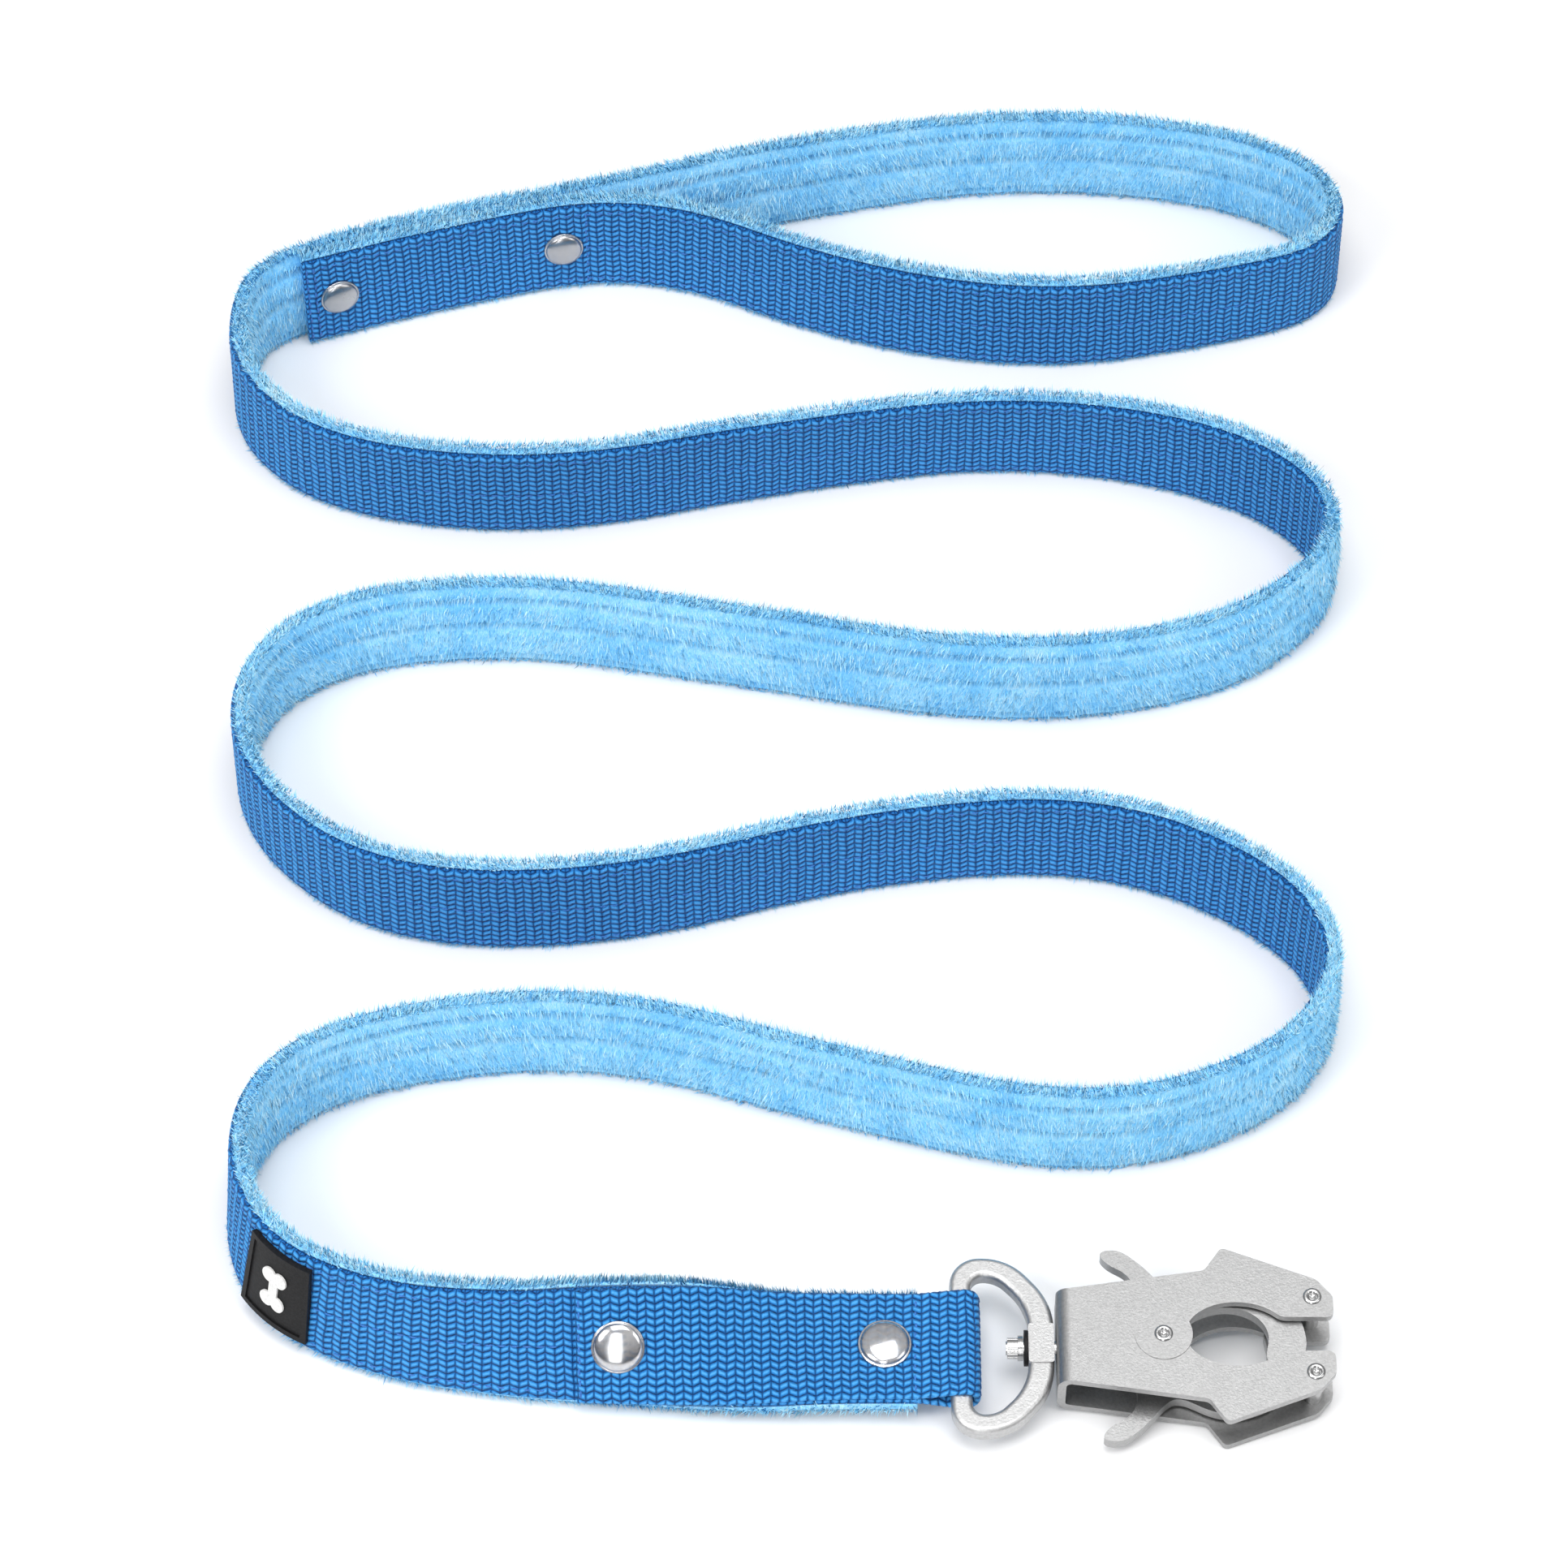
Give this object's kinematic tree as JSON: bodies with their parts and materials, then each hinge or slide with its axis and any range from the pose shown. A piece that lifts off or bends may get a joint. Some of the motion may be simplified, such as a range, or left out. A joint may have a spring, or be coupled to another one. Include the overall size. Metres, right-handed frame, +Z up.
{
  "type": "dog lead",
  "caption": "Plush-lined webbing dog lead laid in switchbacks, with riveted hand loop, D-ring, swivel and frog clip with sprung jaw levers.",
  "frame": {"origin": "on the floor under the middle of the metal, the D-ring and the clip together, without the strap", "axes": "+X along the clip towards its nose; +Z up from the floor"},
  "size_m": [0.2728, 0.3849, 0.0272],
  "materials": {
    "webbing": "woven",
    "plush": "soft pile",
    "thread": "twisted thread",
    "tag_rubber": "matte",
    "tag_print": "matte",
    "rivet_chrome": "polished",
    "satin_nickel": "satin",
    "lever_steel": "satin",
    "bright_steel": "bright",
    "spring_steel": "dark",
    "black_rubber": "matte"
  },
  "bodies": {
    "lead": {"face_webbing": "webbing", "plush_sleeve": "plush", "handle_stitching": "thread", "clip_end_stitching": "thread", "tag_base": "tag_rubber", "tag_mark": "tag_print", "handle_rivet_caps": "rivet_chrome", "handle_rivet_posts": "rivet_chrome", "clip_rivet_caps": "rivet_chrome", "clip_rivet_posts": "rivet_chrome"},
    "ring": {"d_ring": "satin_nickel"},
    "clip": {"swivel_pin": "satin_nickel", "swivel_thrust_washer": "black_rubber", "swivel_washer": "satin_nickel", "swivel_nut": "satin_nickel", "clip_frame": "satin_nickel", "pivot_rivet": "bright_steel", "front_pivot_washer": "bright_steel", "back_pivot_washer": "bright_steel", "fork_spacers": "bright_steel", "fork_rivets": "bright_steel", "torsion_spring": "spring_steel"},
    "upper_jaw": {"upper_lever": "lever_steel"},
    "lower_jaw": {"lower_lever": "lever_steel"}
  },
  "joints": [
    {"name": "ring_swing", "type": "hinge", "parent": "lead", "child": "ring", "pos_m": [-0.03865, 0, 0.00857], "axis": [0, 0.9945, 0.1045], "range_deg": [-110, 110]},
    {"name": "clip_swivel", "type": "hinge", "parent": "ring", "child": "clip", "pos_m": [-0.03865, 0, 0.00857], "axis": [1, 0, 0], "continuous": true},
    {"name": "upper_lever_squeeze", "type": "hinge", "parent": "clip", "child": "upper_jaw", "pos_m": [0.00445, 0, 0.00857], "axis": [0, -0.1045, 0.9945], "range_deg": [0, 22], "stiffness_Nm_per_rad": 0.15, "springref_deg": -17.19},
    {"name": "lower_lever_squeeze", "type": "hinge", "parent": "clip", "child": "lower_jaw", "pos_m": [0.00445, 0, 0.00857], "axis": [0, 0.1045, -0.9945], "range_deg": [0, 22], "stiffness_Nm_per_rad": 0.15, "springref_deg": -17.19, "deforming": ["torsion_spring"]}
  ]
}
